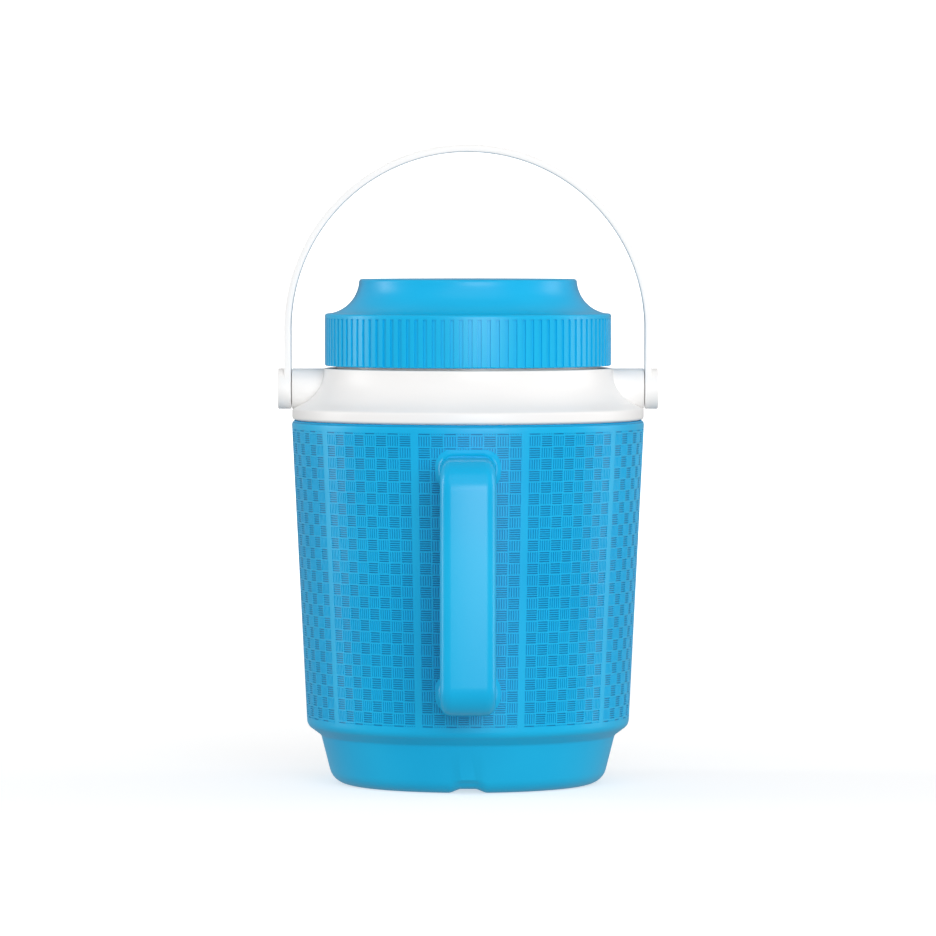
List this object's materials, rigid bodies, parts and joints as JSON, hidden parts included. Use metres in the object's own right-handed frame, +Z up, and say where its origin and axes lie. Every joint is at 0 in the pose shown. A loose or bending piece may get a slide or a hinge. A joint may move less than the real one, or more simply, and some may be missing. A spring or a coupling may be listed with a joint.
{
  "type": "insulated drinks jug",
  "caption": "Insulated picnic drinks jug with a foam-filled woven-pattern body, ribbed screw lid, side handle and swinging carry handle.",
  "frame": {"origin": "on the jug's vertical axis, in the plane of the foot that it stands on", "axes": "+Z up along the jug's axis; X is the carry handle's pivot axis; the side handle is on the -Y side"},
  "size_m": [0.2052, 0.235, 0.3454],
  "materials": {
    "blue_shell": "satin moulded plastic with a pressed basket weave",
    "blue_handle": "smooth satin moulded plastic",
    "blue_lid": "smooth satin moulded plastic",
    "steel": "zinc-plated steel",
    "foam": "rigid polyurethane foam",
    "white_vessel": "food-grade satin plastic",
    "white_collar": "satin moulded plastic",
    "white_pin": "hard self-lubricating plastic",
    "white_handle": "satin moulded plastic",
    "seal": "translucent silicone"
  },
  "bodies": {
    "jug": {"outer_shell": "blue_shell", "side_handle": "blue_handle", "handle_screws": "steel", "fill_plug": "blue_shell", "foam_jacket": "foam", "inner_vessel": "white_vessel", "collar": "white_collar", "pivot_pin_left": "white_pin", "pivot_pin_right": "white_pin"},
    "handle": {"carry_handle": "white_handle"},
    "seal": {"lid_seal": "seal"},
    "lid": {"lid_shell": "blue_lid", "lid_liner": "white_vessel", "lid_foam": "foam"}
  },
  "joints": [
    {"name": "handle_swing", "type": "hinge", "parent": "jug", "child": "handle", "pos_m": [0, 0, 0.2132], "axis": [1, 0, 0], "range_deg": [-124, 98]},
    {"name": "lid_lift", "type": "slide", "parent": "jug", "child": "seal", "axis": [0, 0, 1], "range_m": [0, 0.02401]},
    {"name": "lid_turn", "type": "hinge", "parent": "seal", "child": "lid", "pos_m": [0, 0, 0.24], "axis": [0, 0, 1], "range_deg": [0, 1440]}
  ],
  "couplings": [
    {"joint": "lid_lift", "follows": "lid_turn", "m_per_rad": 0.00095493}
  ]
}
